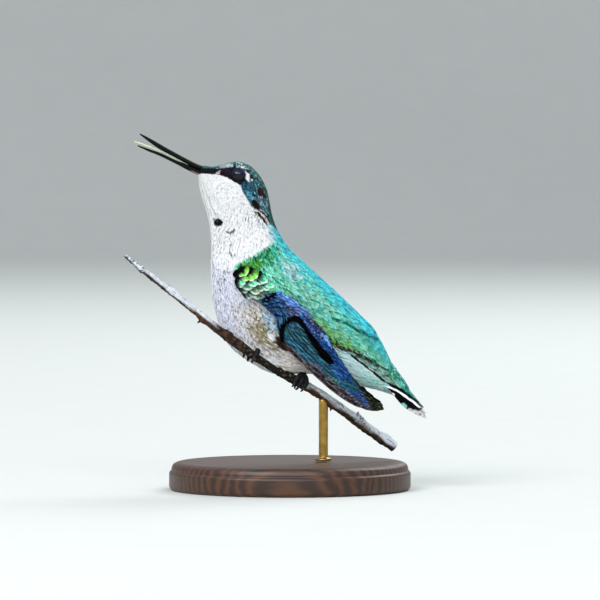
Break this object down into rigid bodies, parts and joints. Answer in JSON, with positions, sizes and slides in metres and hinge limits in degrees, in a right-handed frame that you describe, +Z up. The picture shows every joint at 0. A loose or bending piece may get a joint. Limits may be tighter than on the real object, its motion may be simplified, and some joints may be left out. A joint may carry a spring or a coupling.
{
  "type": "hummingbird model",
  "caption": "Life-size small hummingbird with open needle bill and folded wings, gripping a slanted twig that a rod holds over a round base.",
  "frame": {"origin": "centre of the underside of the round base, on the surface it stands on", "axes": "+Z up; the bird faces -X, its left side faces -Y, and +Y is away from the viewer who sees its left side"},
  "size_m": [0.0639, 0.052, 0.0766],
  "materials": {
    "crown": "small slate and teal feathers with fine pale edges",
    "breast": "soft white feathers with a few dark flecks",
    "back": "glossy green and turquoise feathers",
    "flight": "smooth dark blue flight feathers",
    "tail": "green tail feathers with black bands and white tips",
    "bill": "satin black horn",
    "tongue": "moist and pale",
    "eye": "wet black gloss",
    "foot": "dark scaly skin",
    "bark": "weathered grey and brown bark",
    "rod": "brushed brass",
    "base": "dark satin wood"
  },
  "bodies": {
    "root": {"head": "crown", "eye_left": "eye", "eye_right": "eye", "bill_upper": "bill", "bill_lower": "bill", "tongue": "tongue", "neck": "breast", "torso": "back", "rump": "back", "tail": "tail", "wing_left": "flight", "wing_right": "flight", "leg_left": "breast", "leg_right": "breast", "foot_left": "foot", "foot_right": "foot", "perch_twig": "bark", "stand_rod": "rod", "stand_base": "base"}
  },
  "joints": []
}
